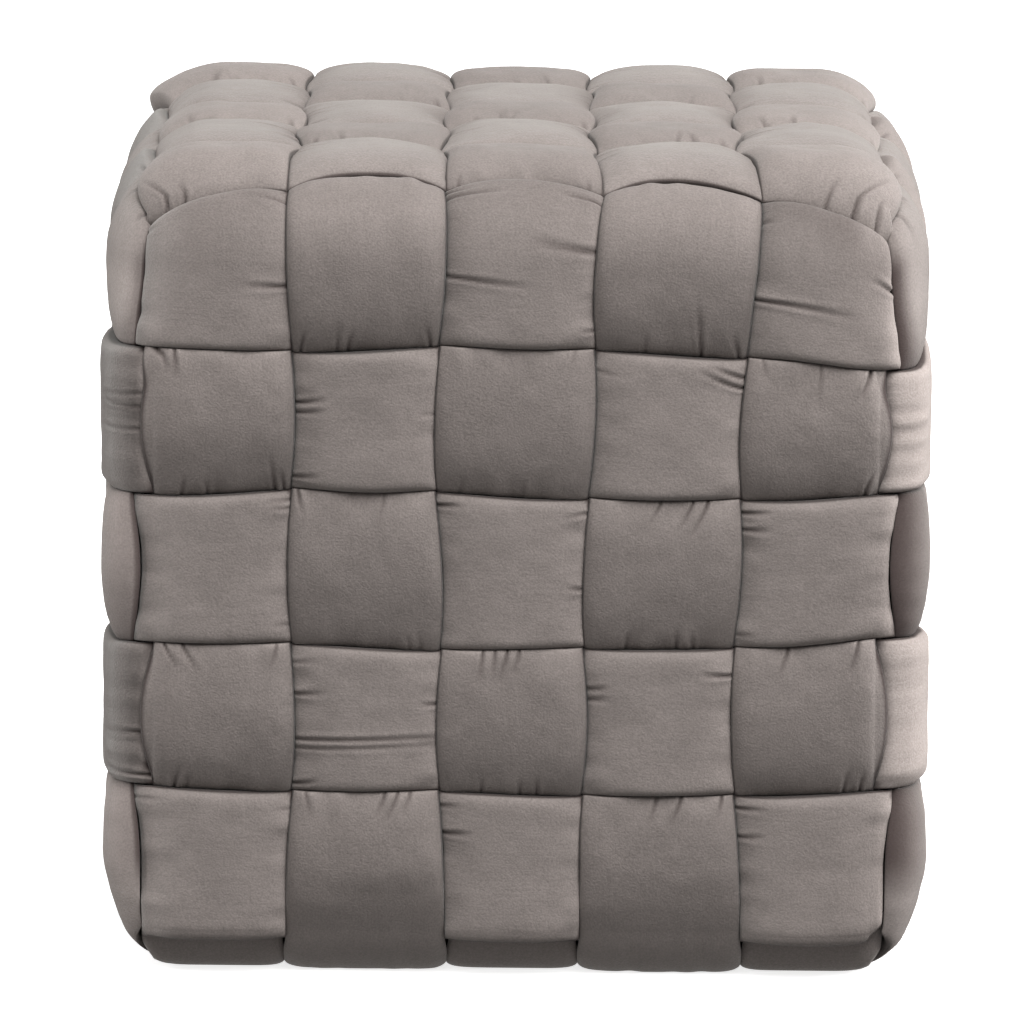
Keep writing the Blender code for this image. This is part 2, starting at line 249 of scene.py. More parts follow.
frontCreases = {
    # (row, column): (end, place beside the middle, length, depth, lean) in mm; the place counts
    # rightwards or upwards, and a crease leans that way as it runs in from its end
    (1, 1): (("right", 29, 20, 1.0, 3), ("right", -7, 27, 1.2, 2), ("left", 20, 12, 0.7, 3)),
    (1, 2): (("bottom", -16, 17, 0.9, 2), ("bottom", -10, 12, 1.1, 3), ("bottom", -36, 13, 1.5, 3),
             ("bottom", 36, 14, 1.3, -3)),
    (1, 3): (("left", 37, 15, 1.3, -2), ("left", 31, 34, 1.3, 4), ("right", 31, 24, 1.3, 4),
             ("right", 9, 36, 1.2, 4), ("left", -3, 46, 1.2, -3), ("right", -30, 8, 0.8, 0)),
    (1, 4): (("bottom", 16, 32, 1.9, -3), ("bottom", 36, 15, 1.5, -4), ("bottom", -14, 12, 0.6, 1)),
    (1, 5): (("left", 25, 9, 1.0, 0), ("left", -9, 58, 1.4, -5), ("right", -3, 17, 1.6, 8),
             ("right", 26, 14, 0.7, -4)),
    (2, 1): (("top", -30, 12, 1.4, 4), ("top", -23, 15, 1.3, 1), ("bottom", -19, 12, 1.0, 2),
             ("bottom", -5, 11, 1.0, -1), ("bottom", 32, 22, 1.4, -3), ("bottom", 37, 14, 1.3, -3)),
    (2, 2): (("left", 12, 18, 1.3, 3), ("left", 6, 17, 1.1, 2), ("left", -33, 14, 1.1, 1),
             ("right", 4, 10, 0.5, 1)),
    (2, 3): (("bottom", 5, 13, 0.5, 1), ("bottom", -28, 10, 0.6, 2), ("top", 30, 10, 0.5, -2)),
    (2, 4): (("right", 24, 24, 1.6, 11), ("right", 30, 19, 1.2, 8), ("left", 30, 11, 0.6, -2)),
    (2, 5): (("top", 29, 17, 1.8, -6), ("top", 1, 24, 0.6, -1), ("bottom", 27, 15, 1.5, 5),
             ("top", -32, 11, 0.7, 2)),
    (3, 1): (("right", 35, 13, 0.8, 0), ("right", 31, 12, 0.8, 1), ("right", -30, 9, 0.5, 0)),
    (3, 2): (("top", -37, 12, 1.3, 2), ("bottom", 24, 11, 0.7, -2), ("bottom", 30, 9, 0.7, -1),
             ("top", 12, 20, 0.5, -6)),
    (3, 3): (("left", 34, 14, 1.2, 1), ("right", -8, 9, 1.0, 1), ("right", 33, 12, 0.8, -2)),
    (3, 4): (("top", 23, 20, 1.2, -10), ("top", 15, 17, 1.0, -9), ("top", -2, 13, 0.9, -7),
             ("bottom", -18, 11, 1.0, 1), ("bottom", 9, 12, 1.1, 0), ("bottom", 18, 10, 1.1, -1)),
    (3, 5): (("left", 34, 16, 1.4, 1), ("left", 25, 15, 1.3, 0), ("left", -33, 10, 0.6, 0)),
    (4, 1): (("top", -28, 13, 1.4, 8), ("top", -18, 16, 1.2, 10), ("top", 33, 15, 1.0, -4),
             ("bottom", -23, 12, 1.8, 3), ("bottom", -16, 9, 0.8, 1)),
    (4, 2): (("left", 14, 16, 1.2, 1), ("right", 10, 9, 1.0, 0), ("left", -11, 110, 1.1, 3),
             ("left", -16, 95, 0.7, 4), ("left", -36, 13, 1.2, 2), ("left", 31, 13, 0.8, 2)),
    (4, 3): (("top", -17, 18, 1.1, -3), ("top", -10, 15, 1.0, -2), ("top", -3, 17, 1.1, -5),
             ("top", 4, 14, 0.9, -4), ("bottom", -17, 10, 1.0, 0), ("bottom", 5, 9, 1.0, 0),
             ("bottom", 15, 11, 1.2, 0)),
    (4, 4): (("right", 26, 18, 1.3, 2), ("left", 19, 12, 1.0, 1), ("left", 13, 11, 1.0, 1)),
    (4, 5): (("top", -12, 17, 1.0, -6), ("top", 25, 18, 1.2, -5), ("bottom", 18, 14, 1.2, 3),
             ("bottom", 27, 12, 1.2, 2)),
    (5, 1): (("right", 31, 9, 0.5, 0), ("left", 34, 8, 0.5, 0)),
    (5, 2): (("top", 11, 15, 1.0, -6), ("top", 18, 16, 1.1, -7), ("top", 25, 13, 0.9, -5),
             ("top", -33, 13, 1.0, 3)),
    (5, 3): (("left", 18, 16, 1.3, 0), ("left", 33, 10, 0.8, 0)),
    (5, 4): (("top", -1, 16, 0.9, -5), ("top", 12, 17, 1.1, -7), ("top", 34, 12, 1.2, -2)),
    (5, 5): (("left", 34, 16, 1.2, 0), ("left", 18, 15, 1.2, 1)),
}
topCreases = {
    # (row from the front, column): the same, seen from above with the front towards the viewer
    (1, 1): (("bottom", -25, 22, 1.9, -13), ("bottom", -16, 12, 1.5, -3)),
    (1, 2): (("left", 30, 20, 1.2, 0), ("left", 20, 24, 1.3, 2), ("left", 10, 18, 1.1, 1),
             ("left", 0, 14, 0.9, -2), ("right", 24, 16, 1.0, 2)),
    (1, 3): (("bottom", -34, 10, 0.8, 1), ("bottom", 33, 9, 0.8, 0)),
    (1, 4): (("left", 28, 22, 1.3, 2), ("left", 17, 20, 1.2, 0), ("left", 5, 16, 1.1, -2),
             ("left", -8, 14, 0.9, -2), ("right", 20, 12, 0.8, 0)),
    (1, 5): (("bottom", -1, 16, 1.5, 8), ("bottom", 14, 25, 2.2, 20), ("bottom", 27, 13, 1.5, 9)),
    (2, 1): (("right", 26, 40, 1.4, 3), ("right", 10, 30, 1.2, 3), ("right", -20, 16, 0.9, 0)),
    (2, 3): (("right", 18, 34, 1.5, 5), ("right", 3, 26, 1.3, 3), ("left", 20, 26, 1.1, 2),
             ("left", -8, 18, 0.8, 0)),
    (2, 5): (("left", 22, 36, 1.4, 3), ("left", 6, 26, 1.2, 0), ("right", 10, 14, 0.8, 0)),
}
creaseEnds = {"left": -1, "right": 1, "bottom": -1, "top": 1}
creaseLook = {
    "width": 0.0009,         # half width of a trough at its deep end
    "widen": 0.9,            # how much wider it gets as it runs out, as a share
    "depth": 1.2,            # scale of every depth
    "bend": 1.3,             # power by which it leans as it runs in
    "taper": 0.8,            # power by which it gets shallower
    "start": (-0.006, 0.005),    # where it sets in, counted from the seam, and over what run
    "ridge": 0.45,           # height of the roll beside it, as a share of the depth
    "roll": (2.1, 1.25),     # place and width of that roll, in half widths of the trough
    "darkDepth": 0.0015,     # depth from which a crease's painted shade is full
}
strayLook = {
    # creases of the squares that the photograph does not show
    "middle": 0.020,         # how far off the middle of an end a group of them lies
    "spread": 0.016,         # half width of a group
    "edge": 0.037,           # none lies further out
    "count": (1, 5),         # how many, the last number left out
    "length": (7, 26),       # mm
    "depth": (0.4, 1.3),     # mm
    "lean": 0.005,           # the most that one leans
    "cornerChance": 0.6,     # share of the ends with one more crease near a corner
    "cornerPlace": (0.031, 0.037),    # how far off the middle that one lies
    "cornerCrease": (0.013, 0.0013, -0.08),    # its length, its depth, its lean as a share of the place
}
clothLook = {
    "noiseGrid": 61,         # steps after which the noise repeats
    "squeezed": (0.55, 0.45),    # share of the way out from which an end puckers, and over what share
    "pucker": 0.0009,        # height of the soft puckers along each squeezed end
    "puckerSteps": (0.0075, 0.045),    # step of their noise across and along the band
    "puckerStart": 9,        # where in the noise they start
    "uneven": ((0.0008, 0.024), (0.00022, 0.008)),    # height and step of the swell and the dimples
    "unevenStart": 7,
}


def softNoise(x, y, seed):
    # even noise from -1 to 1 with one value a step
    count = clothLook["noiseGrid"]
    grid = np.random.default_rng(seed).uniform(-1, 1, (count, count))
    column = np.floor(x).astype(int)
    row = np.floor(y).astype(int)
    shareX = smooth(x - column)
    shareY = smooth(y - row)
    near = column % count
    far = (column + 1) % count
    low, high = (grid[near, line % count] * (1 - shareX) + grid[far, line % count] * shareX
                 for line in (row, row + 1))
    return low * (1 - shareY) + high * shareY


def strayCreases(seed):
    # (sign of the end, place, length, depth, lean) of each crease
    draw = np.random.default_rng(seed)
    edge = strayLook["edge"]
    creases = []

    def within(reach):
        return draw.uniform(-reach, reach)

    for sign in (-1, 1):
        middle = within(strayLook["middle"])
        for _ in range(draw.integers(*strayLook["count"])):
            place = np.clip(middle + within(strayLook["spread"]), -edge, edge)
            length = draw.uniform(*strayLook["length"]) / 1000
            depth = draw.uniform(*strayLook["depth"]) / 1000
            creases.append((sign, place, length, depth, within(strayLook["lean"])))
        if draw.random() < strayLook["cornerChance"]:
            place = draw.choice((-1, 1)) * draw.uniform(*strayLook["cornerPlace"])
            length, depth, lean = strayLook["cornerCrease"]
            creases.append((sign, place, length, depth, lean * place))
    return creases


def namedCreases(rows):
    # the same from a row of the tables above
    return [(creaseEnds[end], *(value / 1000 for value in row)) for end, *row in rows]


def squareCreases(square):
    if square["creases"] is not None:
        return square["creases"]
    return [(sign, place, length, depth * square["calm"], lean)
            for sign, place, length, depth, lean in strayCreases(square["seed"])]


def foldHeights(square, along, across):
    # change of height over a square's grid, and the painted crease shade: how deep in a crease each
    # point lies
    change = np.zeros_like(along)
    shade = np.zeros_like(along)
    rollPlace, rollWidth = creaseLook["roll"]
    for sign, place, length, depth, lean in squareCreases(square):
        inward = square["ends"][sign] - sign * along
        share = np.clip(inward / length, 0.0, 1.0)
        line = place + lean * share ** creaseLook["bend"]
        width = creaseLook["width"] * (1 + creaseLook["widen"] * share)
        off = (across - line) / width
        fade = (1 - share) ** creaseLook["taper"] * rising(inward, *creaseLook["start"])
        trough = np.exp(-off ** 2) * fade
        roll = np.exp(-((np.abs(off) - rollPlace) / rollWidth) ** 2) * fade
        depth = depth * creaseLook["depth"]
        change += depth * (creaseLook["ridge"] * roll - trough)
        shade = np.maximum(shade, trough * min(depth / creaseLook["darkDepth"], 1.0))
    seed = square["seed"]
    end = np.where(along < 0, square["ends"][-1], square["ends"][1])
    start, run = clothLook["squeezed"]
    squeezed = rising(np.abs(along), start * end, run * end)
    stepAcross, stepAlong = clothLook["puckerSteps"]
    start = clothLook["puckerStart"]
    pucker = softNoise(across / stepAcross + start, along / stepAlong + start, seed + 1)
    change += clothLook["pucker"] * squeezed * pucker
    start = clothLook["unevenStart"]
    for number, (height, step) in enumerate(clothLook["uneven"]):
        change += height * softNoise(along / step + start, across / step + start, seed + 2 + number)
    return change, shade


# the top's corner squares hang over the edges, lower towards the corners

cornerDrops = {
    # corner: (drop on the front or back, power of the way there, drop on the left or right)
    "frontLeft": (0.0150, 1.6, 0.010),
    "frontRight": (0.0210, 1.2, 0.011),
    "backLeft": (0.0120, 1.5, 0.024),
    "backRight": (0.0090, 1.7, 0.009),
}
cornerFold = {
    "wrap": 0.0041,          # how far the corner seams lie in from the corners on the front and back
    "overhang": 0.0020,      # how far the tip of a top corner square lies over the seam
    "sidePower": 1.5,        # power of the way to the drop on the left or right
    "tipPower": 2.4,         # power by which the hanging tip narrows
    "gatherPower": 2.5,      # power by which an end is drawn to its stretched line
}
topArch = {
    # place along the front edge: how far the seam there arches up in its middle
    2: 0.012, 3: 0.006, 4: 0.012,
}


def cornerName(front, left):
    return ("front" if front else "back") + ("Left" if left else "Right")


def edgeDrop(place, front):
    # how far the seam under the top's edge has dropped, by the place across the front or back
    drop = np.zeros_like(place)
    for sign in (-1, 1):
        depth, power, _ = cornerDrops[cornerName(front, sign < 0)]
        share = np.clip((sign * place - (half - pitch)) / pitch, 0.0, 1.0)
        drop += depth * share ** power
    return drop


def cornerShare(across, band):
    # nought at a corner square's inner side, one at the corner
    return np.clip(0.5 + (across if band > middleBand else -across) / pitch, 0.0, 1.0) ** 2


def sideDrop(place, name):
    # the drop along the left or right, by the place on the way to that corner
    depth, _, reach = cornerDrops[name]
    share = np.clip((place - (half - pitch)) / pitch, 0.0, 1.0)
    past = np.clip((place - half) / cornerFold["wrap"], 0.0, 1.0)
    return reach * share ** cornerFold["sidePower"] + (depth - reach) * past


def cornerWidth(place, name):
    # half width of a top corner square on its outer side, by the place on the way to that corner
    depth, _, reach = cornerDrops[name]
    past = np.clip((place - half) / depth, 0.0, 1.0) ** cornerFold["tipPower"]
    return pitch / 2 + sideDrop(np.minimum(place, half), name) - (reach + cornerFold["wrap"]) * past


def arched(place, column):
    return topArch[column] * np.maximum(1 - (place / (pitch / 2)) ** 2, 0.0)


# cross sections of a band

squareShape = {
    # kind of over square: half width, how much narrower each edge is at its ends, flatness of its crown
    "hoop": {"half": 0.0404, "barrel": 0.0, "flat": 20.0},
    "side": {"half": 0.0428, "barrel": 0.0023, "flat": 6.5},
    "top": {"half": 0.0412, "barrel": 0.0008, "flat": 4.3},
}
bandShape = {
    "crown": 0.0245,         # top of an over square above the block
    "crownSpread": 0.06,     # how unlike the squares are, as a share
    "crownSkew": 0.10,       # how far a crown leans to one end, as a share
    "crestPower": (2.2, 0.6),    # lengthwise arc
    "acrossTopFlat": 2.9,    # flatness of the left-right squares on the top
    "endFlat": (4.0, 3),     # flatness at the ends of every square, and the power of the way there
    "side": 0.0165,          # height of the widest point of a rounded edge, halfway along a square
    "sideEnd": 0.0125,       # the same at its ends
    "sidePower": 2.4,        # power of the way there
    "outerEnd": 0.0155,      # outer skin at its ends
    "upperEnd": 0.0195,      # the same at the upper ends of the uprights on the sides
    "inner": 0.0056,         # inner skin of an over square
    "innerEnd": (0.85, 0.003),   # share of the way out from which it sinks, and its height at the end
    "tuck": 0.006,           # width of its rounded underside
    "tuckTurns": (30, 60, 90),   # degrees, points of the rounded underside
    "seam": 0.0002,          # gap between an end and the edge of the band beside it
    "pointsAcross": {"hoop": 88, "frontBack": 88, "leftRight": 60},    # over the outer skin
    "pointsAlong": 33,       # sections of an over square
    "endSpread": 0.80,       # crowds the sections towards the ends of a square
    "edgeCrowd": (0.84, 0.8),    # share of the half width from which points lie closer, and how much
    "samples": 4001,         # steps for measuring along the curve of a crown
    "cornerFiner": 2.1,      # how much closer the sections of a top corner square lie
    "hollowPower": 3,        # power by which an end's line turns hollow
    "softEdge": 1.6,         # how fast folds set in from the edge of the outer skin
}
underTurns = np.radians(bandShape["tuckTurns"])
divePath = (
    # run past the end, outer skin, inner skin, half width, in mm
    (0.5, 11.5, 2.6, 37.6),
    (1.2, 8.6, 2.0, 37.0),
    (2.4, 6.8, 1.2, 36.2),
    (6.0, 5.0, 0.4, 35.0),
)
skirtPath = (
    # run below the middle of a last over square, outer, rim, inner, half width, in mm
    (0.0, 24.5, 16.5, 5.6, 42.8),
    (18.4, 22.0, 15.4, 5.6, 42.7),
    (33.0, 17.2, 12.4, 5.6, 42.5),
    (40.3, 13.6, 9.8, 5.0, 42.8),
    (48.3, 9.8, 6.2, 0.8, 44.3),
    (59.9, 6.8, 3.5, 0.4, 43.2),
    (71.4, 5.5, 2.9, 0.3, 37.2),
    (104.4, 5.5, 2.9, 0.3, 34.5),
)
flaredPath = (
    # the same on the front and the back, where the skirts stand on the floor
    (0.0, 24.5, 16.5, 5.6, 42.8),
    (18.4, 22.0, 15.4, 5.6, 42.7),
    (33.0, 17.4, 12.4, 5.6, 42.5),
    (40.3, 14.4, 10.0, 5.0, 42.8),
    (48.3, 12.4, 7.4, 0.8, 44.0),
    (57.0, 10.6, 5.4, 0.4, 44.0),
    (71.4, 5.5, 2.9, 0.3, 38.0),
    (104.4, 5.5, 2.9, 0.3, 34.5),
)
stripPath = (
    # run below the middle of a last under square, the same
    (29.0, 5.0, 2.6, 0.3, 35.5),
    (38.0, 5.0, 2.6, 0.3, 35.8),
    (48.3, 6.6, 3.2, 0.3, 37.5),
    (57.0, 8.4, 4.2, 0.3, 38.0),
    (71.4, 5.5, 2.9, 0.3, 36.5),
    (104.4, 5.5, 2.9, 0.3, 34.5),
)
tailShape = {
    "skirtSteps": 42,        # sections of a last over square down to the end of its bend
    "stripSteps": 17,        # the same of a last under square
    "stepPower": 0.85,       # crowds them towards the floor
    "bendEnd": 0.0715,       # run down to the end of the bend under the block
    "flatRuns": (0.0835, 0.1044),    # sections under the block
    "grown": 0.04,           # run over which a square's own crown fades
    # a drawn-in skirt sets in over the first run, and has gone at the second, over the third
    "drawnIn": (0.03, 0.07, 0.02),
    "puff": (0.002, 0.006),  # crown above the rim from which folds show, and over what run
}
mitreShape = {
    "gap": 0.0004,           # between two bands at a corner
    "slackTurn": 30,         # degrees of the bend over which the corner's wrap is given up
    "underWider": 0.0045,    # how much wider an under square may lie there
}


def crownShares(count):
    # places across the outer skin, even along its curve and closer on the rounded edges
    start, closer = bandShape["edgeCrowd"]
    dense = np.linspace(-1, 1, bandShape["samples"])
    shape = squareShape["side"]
    width = shape["half"] * dense
    rise = (bandShape["crown"] - bandShape["side"]) * (1 - np.abs(dense) ** shape["flat"]) ** 0.5
    step = np.hypot(np.diff(width), np.diff(rise)) * (1 + closer * (np.abs(dense[1:]) > start))
    length = np.concatenate(((0,), np.cumsum(step)))
    return np.interp(np.linspace(0, length[-1], count), length, dense)


def softLine(places, knots, values):
    # smooth line through the knots that never overshoots them
    gaps = np.diff(knots)
    slopes = np.diff(values) / gaps
    tangents = np.zeros_like(values)
    rises = slopes[:-1] * slopes[1:] > 0
    mean = 2 * slopes[:-1] * slopes[1:] / np.where(rises, slopes[:-1] + slopes[1:], 1.0)
    tangents[1:-1] = np.where(rises, mean, 0.0)
    tangents[-1] = slopes[-1]
    number = np.clip(np.searchsorted(knots, places) - 1, 0, len(gaps) - 1)
    gap = gaps[number]
    share = np.clip((places - knots[number]) / gap, 0.0, 1.0)
    return ((1 + 2 * share) * (1 - share) ** 2 * values[number]
            + share * (1 - share) ** 2 * gap * tangents[number]
            + share ** 2 * (3 - 2 * share) * values[number + 1]
            + share ** 2 * (share - 1) * gap * tangents[number + 1])


def sectionTable(**columns):
    # one value a section for each of along, left, right, outer, rim, inner, puff and power
    values = np.broadcast_arrays(*columns.values())
    return dict(zip(columns, (np.array(column, float) for column in values)))


def joined(tables):
    return {key: np.concatenate([table[key] for table in tables]) for key in tables[0]}


def cut(table):
    # without its first section
    return {key: value[1:] for key, value in table.items()}


def flipped(table):
    return {key: value[::-1] for key, value in table.items()}


def ownCrown(square):
    return bandShape["crown"] * (1 + bandShape["crownSpread"] * square["puff"])


def arcTable(square, sign):
    # from the middle of an over square out to its end, and down under the band beside it
    count = int(bandShape["pointsAlong"] * square["finer"]) // 2
    spread = bandShape["endSpread"] * math.pi / 2
    share = np.sin(spread * np.linspace(0, 1, count + 1)) / math.sin(spread)
    end = square["ends"][sign]
    lean = share + bandShape["crownSkew"] * square["skew"] * sign * share * (1 - share)
    crest, fall = bandShape["crestPower"]
    rise = np.maximum(1 - lean ** crest, 0.0) ** fall
    sideEnd = bandShape["sideEnd"]
    low = square["endOuter"][sign]
    endFlat, endPower = bandShape["endFlat"]
    innerFrom, innerEnd = bandShape["innerEnd"]
    narrower = square["barrel"] * share ** 2
    arc = sectionTable(
        along=sign * end * share,
        left=square["left"] - narrower,
        right=square["right"] - narrower,
        outer=low + (ownCrown(square) - low) * rise,
        rim=sideEnd + (bandShape["side"] - sideEnd) * (1 - share ** bandShape["sidePower"]),
        inner=np.interp(share, (innerFrom, 1.0), (bandShape["inner"], innerEnd)),
        puff=1.0,
        power=square["flat"] + (endFlat - square["flat"]) * share ** endPower)
    run, outer, inner, width = (np.array(divePath) / 1000).T
    dive = sectionTable(along=sign * (end + run), left=width, right=width, outer=outer,
                        rim=(outer + inner) / 2, inner=inner, puff=0.0, power=endFlat)
    return arc, dive


def tailTable(square, sign, path):
    # from the middle of a last square down, round the bottom edge and in under the block
    path = np.array(path) / 1000
    over = square["over"]
    first = path[0, 0]
    steps = tailShape["skirtSteps" if over else "stripSteps"]
    bent = np.linspace(0, 1, steps) ** tailShape["stepPower"] * (tailShape["bendEnd"] - first) + first
    along = np.concatenate((bent, tailShape["flatRuns"]))
    outer, rim, inner, width = (softLine(along, path[:, 0], path[:, key]) for key in (1, 2, 3, 4))
    left = width + square["stripWider"]["left"]
    right = width + square["stripWider"]["right"]
    if over:
        start, end, run = tailShape["drawnIn"]
        outer = outer + (ownCrown(square) - path[0, 1]) * smooth(1 - along / tailShape["grown"])
        outer = outer - square["skirtIn"] * smooth(along / start) * falling(along, end, run)
        left = square["left"] + width - path[0, 4]
        right = square["right"] + width - path[0, 4]
    puff = rising(outer - rim, *tailShape["puff"])
    return sectionTable(along=sign * along, left=left, right=right, outer=outer, rim=rim, inner=inner,
                        puff=puff, power=square["flat"])


def mitred(table, band, over):
    # the corner side of an end band is cut along the corner's diagonal under the block
    centre = (band - middleBand) * pitch
    bottomEdge = poufBlock["bottomEdge"]
    gap = mitreShape["gap"]
    run = np.abs(table["run"]) - half - (top - bendStart)
    angle = np.clip(run / bottomEdge, 0, math.pi / 2)
    inward = bottomEdge * (1 - np.cos(angle)) + np.maximum(run - bottomEdge * math.pi / 2, 0.0)
    kept = np.maximum(1 - np.degrees(angle) / mitreShape["slackTurn"], 0.0)
    slack = (cornerFold["wrap"] + gap) * kept
    limit = half - inward - gap + slack - abs(centre) + (0.0 if over else mitreShape["underWider"])
    key = "left" if centre < 0 else "right"
    table[key] = np.where(run > 0, np.minimum(table[key], limit), table[key])


def ringPoints(table, outerShares):
    # (across, lift) of every section: outer skin left to right, then round the underside
    left, right, rim, inner, outer, power = (
        table[key][:, None] for key in ("left", "right", "rim", "inner", "outer", "power"))
    bow = np.sqrt(1 - np.abs(outerShares[None, :]) ** power)
    across = (right - left) / 2 + outerShares[None, :] * ((right + left) / 2)
    lift = rim + (outer - rim) * bow
    inset = bandShape["tuck"] * (1 - np.cos(underTurns))[None, :]
    drop = rim - (rim - inner) * np.sin(underTurns)[None, :]
    return (np.concatenate((across, right - inset, (-left + inset)[:, ::-1]), axis=1),
            np.concatenate((lift, drop, drop[:, ::-1]), axis=1), bow)


def bandTables(squares, closed):
    # sections of a band square by square; an under square has none but at the ends of an upright
    for number, square in enumerate(squares):
        first = number == 0 and not closed
        last = number == len(squares) - 1 and not closed
        parts = []
        if square["over"]:
            before, diveBefore = arcTable(square, -1)
            after, diveAfter = arcTable(square, 1)
            parts = [flipped(diveBefore), flipped(cut(before)), after, diveAfter]
            # a skirt takes the place of the lower end of a last square
            if first:
                parts[:2] = [flipped(cut(tailTable(square, -1, square["skirt"])))]
            elif last:
                parts[1:] = [flipped(before), cut(tailTable(square, 1, square["skirt"]))]
        elif first:
            parts = [flipped(tailTable(square, -1, stripPath))]
        elif last:
            parts = [tailTable(square, 1, stripPath)]
        if parts:
            table = joined(parts)
            table["run"] = square["centre"] + table["along"]
            yield square, table


# painted light and shade of the pile, and its lean, which the meshes carry

pileLook = {
    # kind of band: how far its pile leans along the band, across it, upwards, and by side (up on the
    # right, down on the left), painted light and shade on the left and right, and where its noise starts
    "hoop": {"lean": (-0.50, 0.0, 0.27, 0.38), "tones": (0.80, 1.50), "noise": 0},
    "frontBack": {"lean": (-0.10, 0.0, 0.0, 0.0), "tones": (1.0, 1.0), "noise": 20},
    "leftRight": {"lean": (0.0, 0.10, 0.95, 0.0), "tones": (1.52, 1.01), "noise": 10},
}
pileFeel = {
    "step": 0.0006,          # how far ahead the way along a band is measured
    "sideLean": (0.198, 0.012),      # where from the middle the lean by side sets in, and over what run
    "paintedSideLight": (0.196, 0.016),      # the same of the painted light and shade by side
    "sideTop": (0.425, 0.05),        # height at which those are gone, and over what run
    "paintedSlopeLight": (0.95, 0.09),       # an upright square's painted tone, and how much more its upper half has, as painted light
    "slopeStart": (0.02, 0.06),      # how far below the top it sets in, and over what run
    "slopeFloor": (0.004, 0.02),     # the same above the floor
    "topPaintedShade": 0.88,                 # painted shade of the middle front-back bands on the top
    "topStart": (0.424, 0.014),      # the height where it sets in, and over what run
    "noiseApart": 0.37,              # how far apart the bands lie in the noise of the velvet
}
# painted shade in the seams between the squares, and painted shadow under the top's edge
seamLook = {
    "edge": (0.0010, 0.0007),        # how near its edge an over square takes painted seam shade, and over what run
    "low": (0.0149, 0.0014),         # below which height over the block it takes painted seam shade, and over what run
    "floor": (0.040, 0.03),          # height above the floor where that has gone, and over what run
    "closed": 0.85,                  # share that is left out along the top's left and right edges
    "closedSide": (0.180, 0.012),    # how far from the middle that sets in, and over what run
    "closedTop": (0.392, 0.02),      # the same in height
    # reach and share of a painted shade along an edge: the front edge of the side bands nearest the
    # front
    "frontEdge": {"left": (0.013, 0.55), "right": (0.015, 1.0)},
    # the same of a painted shadow on the front squares of the top hoop, under the top's edge
    "rim": {0: (0.034, 0.17), 2: (0.036, 0.20), 4: (0.025, 0.38)},
}


def paintedSideLight(points, tones):
    # painted light and shade: the pile is made lighter or darker from side to side, for how it catches
    # the light
    leftTone, rightTone = tones
    share = rising(np.abs(points[:, 0]), *pileFeel["paintedSideLight"])
    share = share * falling(points[:, 2], *pileFeel["sideTop"])
    return 1 + share * (np.where(points[:, 0] < 0, leftTone, rightTone) - 1)


def paintedSlopeLight(run, height, overRun):
    # painted light and shade: an upright's bulging squares catch more light above their middle and less
    # below
    tone, more = pileFeel["paintedSlopeLight"]
    way = np.sin(math.pi * (run - overRun) / pitch) * -np.sign(run)
    share = rising(np.abs(run) - half, *pileFeel["slopeStart"])
    share = share * rising(height, *pileFeel["slopeFloor"])
    return 1 + share * (tone - 1 + more * way)


def seamShadow(table, across, lift, square, closed):
    # painted seam shade: how deep in a seam each point of an over square lies, near its edges or at its
    # low ends
    if not square["over"]:
        return np.zeros_like(across)
    toRight = table["right"][:, None] - across
    toLeft = table["left"][:, None] + across
    depth = np.maximum(falling(np.minimum(toRight, toLeft), *seamLook["edge"]),
                       falling(lift, *seamLook["low"]))
    for side, (reach, share) in square["paintedShadeEdges"].items():
        depth = np.maximum(depth, share * smooth(1 - (toLeft if side == "left" else toRight) / reach))
    depth = depth * square["calm"]
    if not closed:
        above, run = seamLook["floor"]
        depth = depth * falling(np.abs(table["run"]), half + top - above, run)[:, None]
    return depth


def squareSections(square, table, closed, outerShares):
    # run, place across, height, crease and seam shade over the sections of one square
    across, lift, bow = ringPoints(table, outerShares)
    outerCount = len(outerShares)
    run = np.repeat(table["run"][:, None], across.shape[1], axis=1)
    for sign in (-1, 1):
        # each end is hollow where the crossing band bulges, and longer where the seam drops
        share = np.clip(sign * table["along"] / square["ends"][sign], 0.0, 1.0)[:, None]
        hollow = np.minimum(np.abs(across) / (pitch / 2), 1.0) ** 2
        hollow = np.where((across < 0) & square["straightBelow"], 0.0, hollow)
        run = run + sign * square["hollows"][sign] * share ** bandShape["hollowPower"] * hollow
        if sign in square["stretches"]:
            stretch = square["stretches"][sign](across)
            run = run + sign * share ** cornerFold["gatherPower"] * stretch
    fold = np.zeros_like(across)
    if square["over"]:
        outer = across[:, :outerCount]
        along = np.repeat(table["along"][:, None], outerCount, axis=1)
        change, shade = foldHeights(square, along, outer)
        soft = np.clip(bow * bandShape["softEdge"], 0.0, 1.0) * table["puff"][:, None]
        lift[:, :outerCount] += change * soft
        for side, (amount, start, reach) in square["bulges"].items():
            outwards = -outer if side == "left" else outer
            lift[:, :outerCount] += amount * soft * rising(outwards, start, reach)
        fold[:, :outerCount] = shade * soft
    return run, across, lift, fold, seamShadow(table, across, lift, square, closed)


def pileRuns(points, run, across, lift, places, lean):
    # which way the pile leans at each point, and how much
    leanAlong, leanAcross, leanUp, sideUp = lean
    step = pileFeel["step"]
    nap = np.tile((0.0, 0.0, leanUp), (len(points), 1))
    sideShare = rising(np.abs(points[:, 0]), *pileFeel["sideLean"])
    nap[:, 2] += sideUp * np.sign(points[:, 0]) * sideShare
    for share, aheadRun, aheadAcross in ((leanAlong, step, 0.0), (leanAcross, 0.0, step)):
        way = onBlock(places(run + aheadRun, across + aheadAcross), lift) - points
        nap += share * way / np.maximum(np.linalg.norm(way, axis=1), 1e-9)[:, None]
    return nap


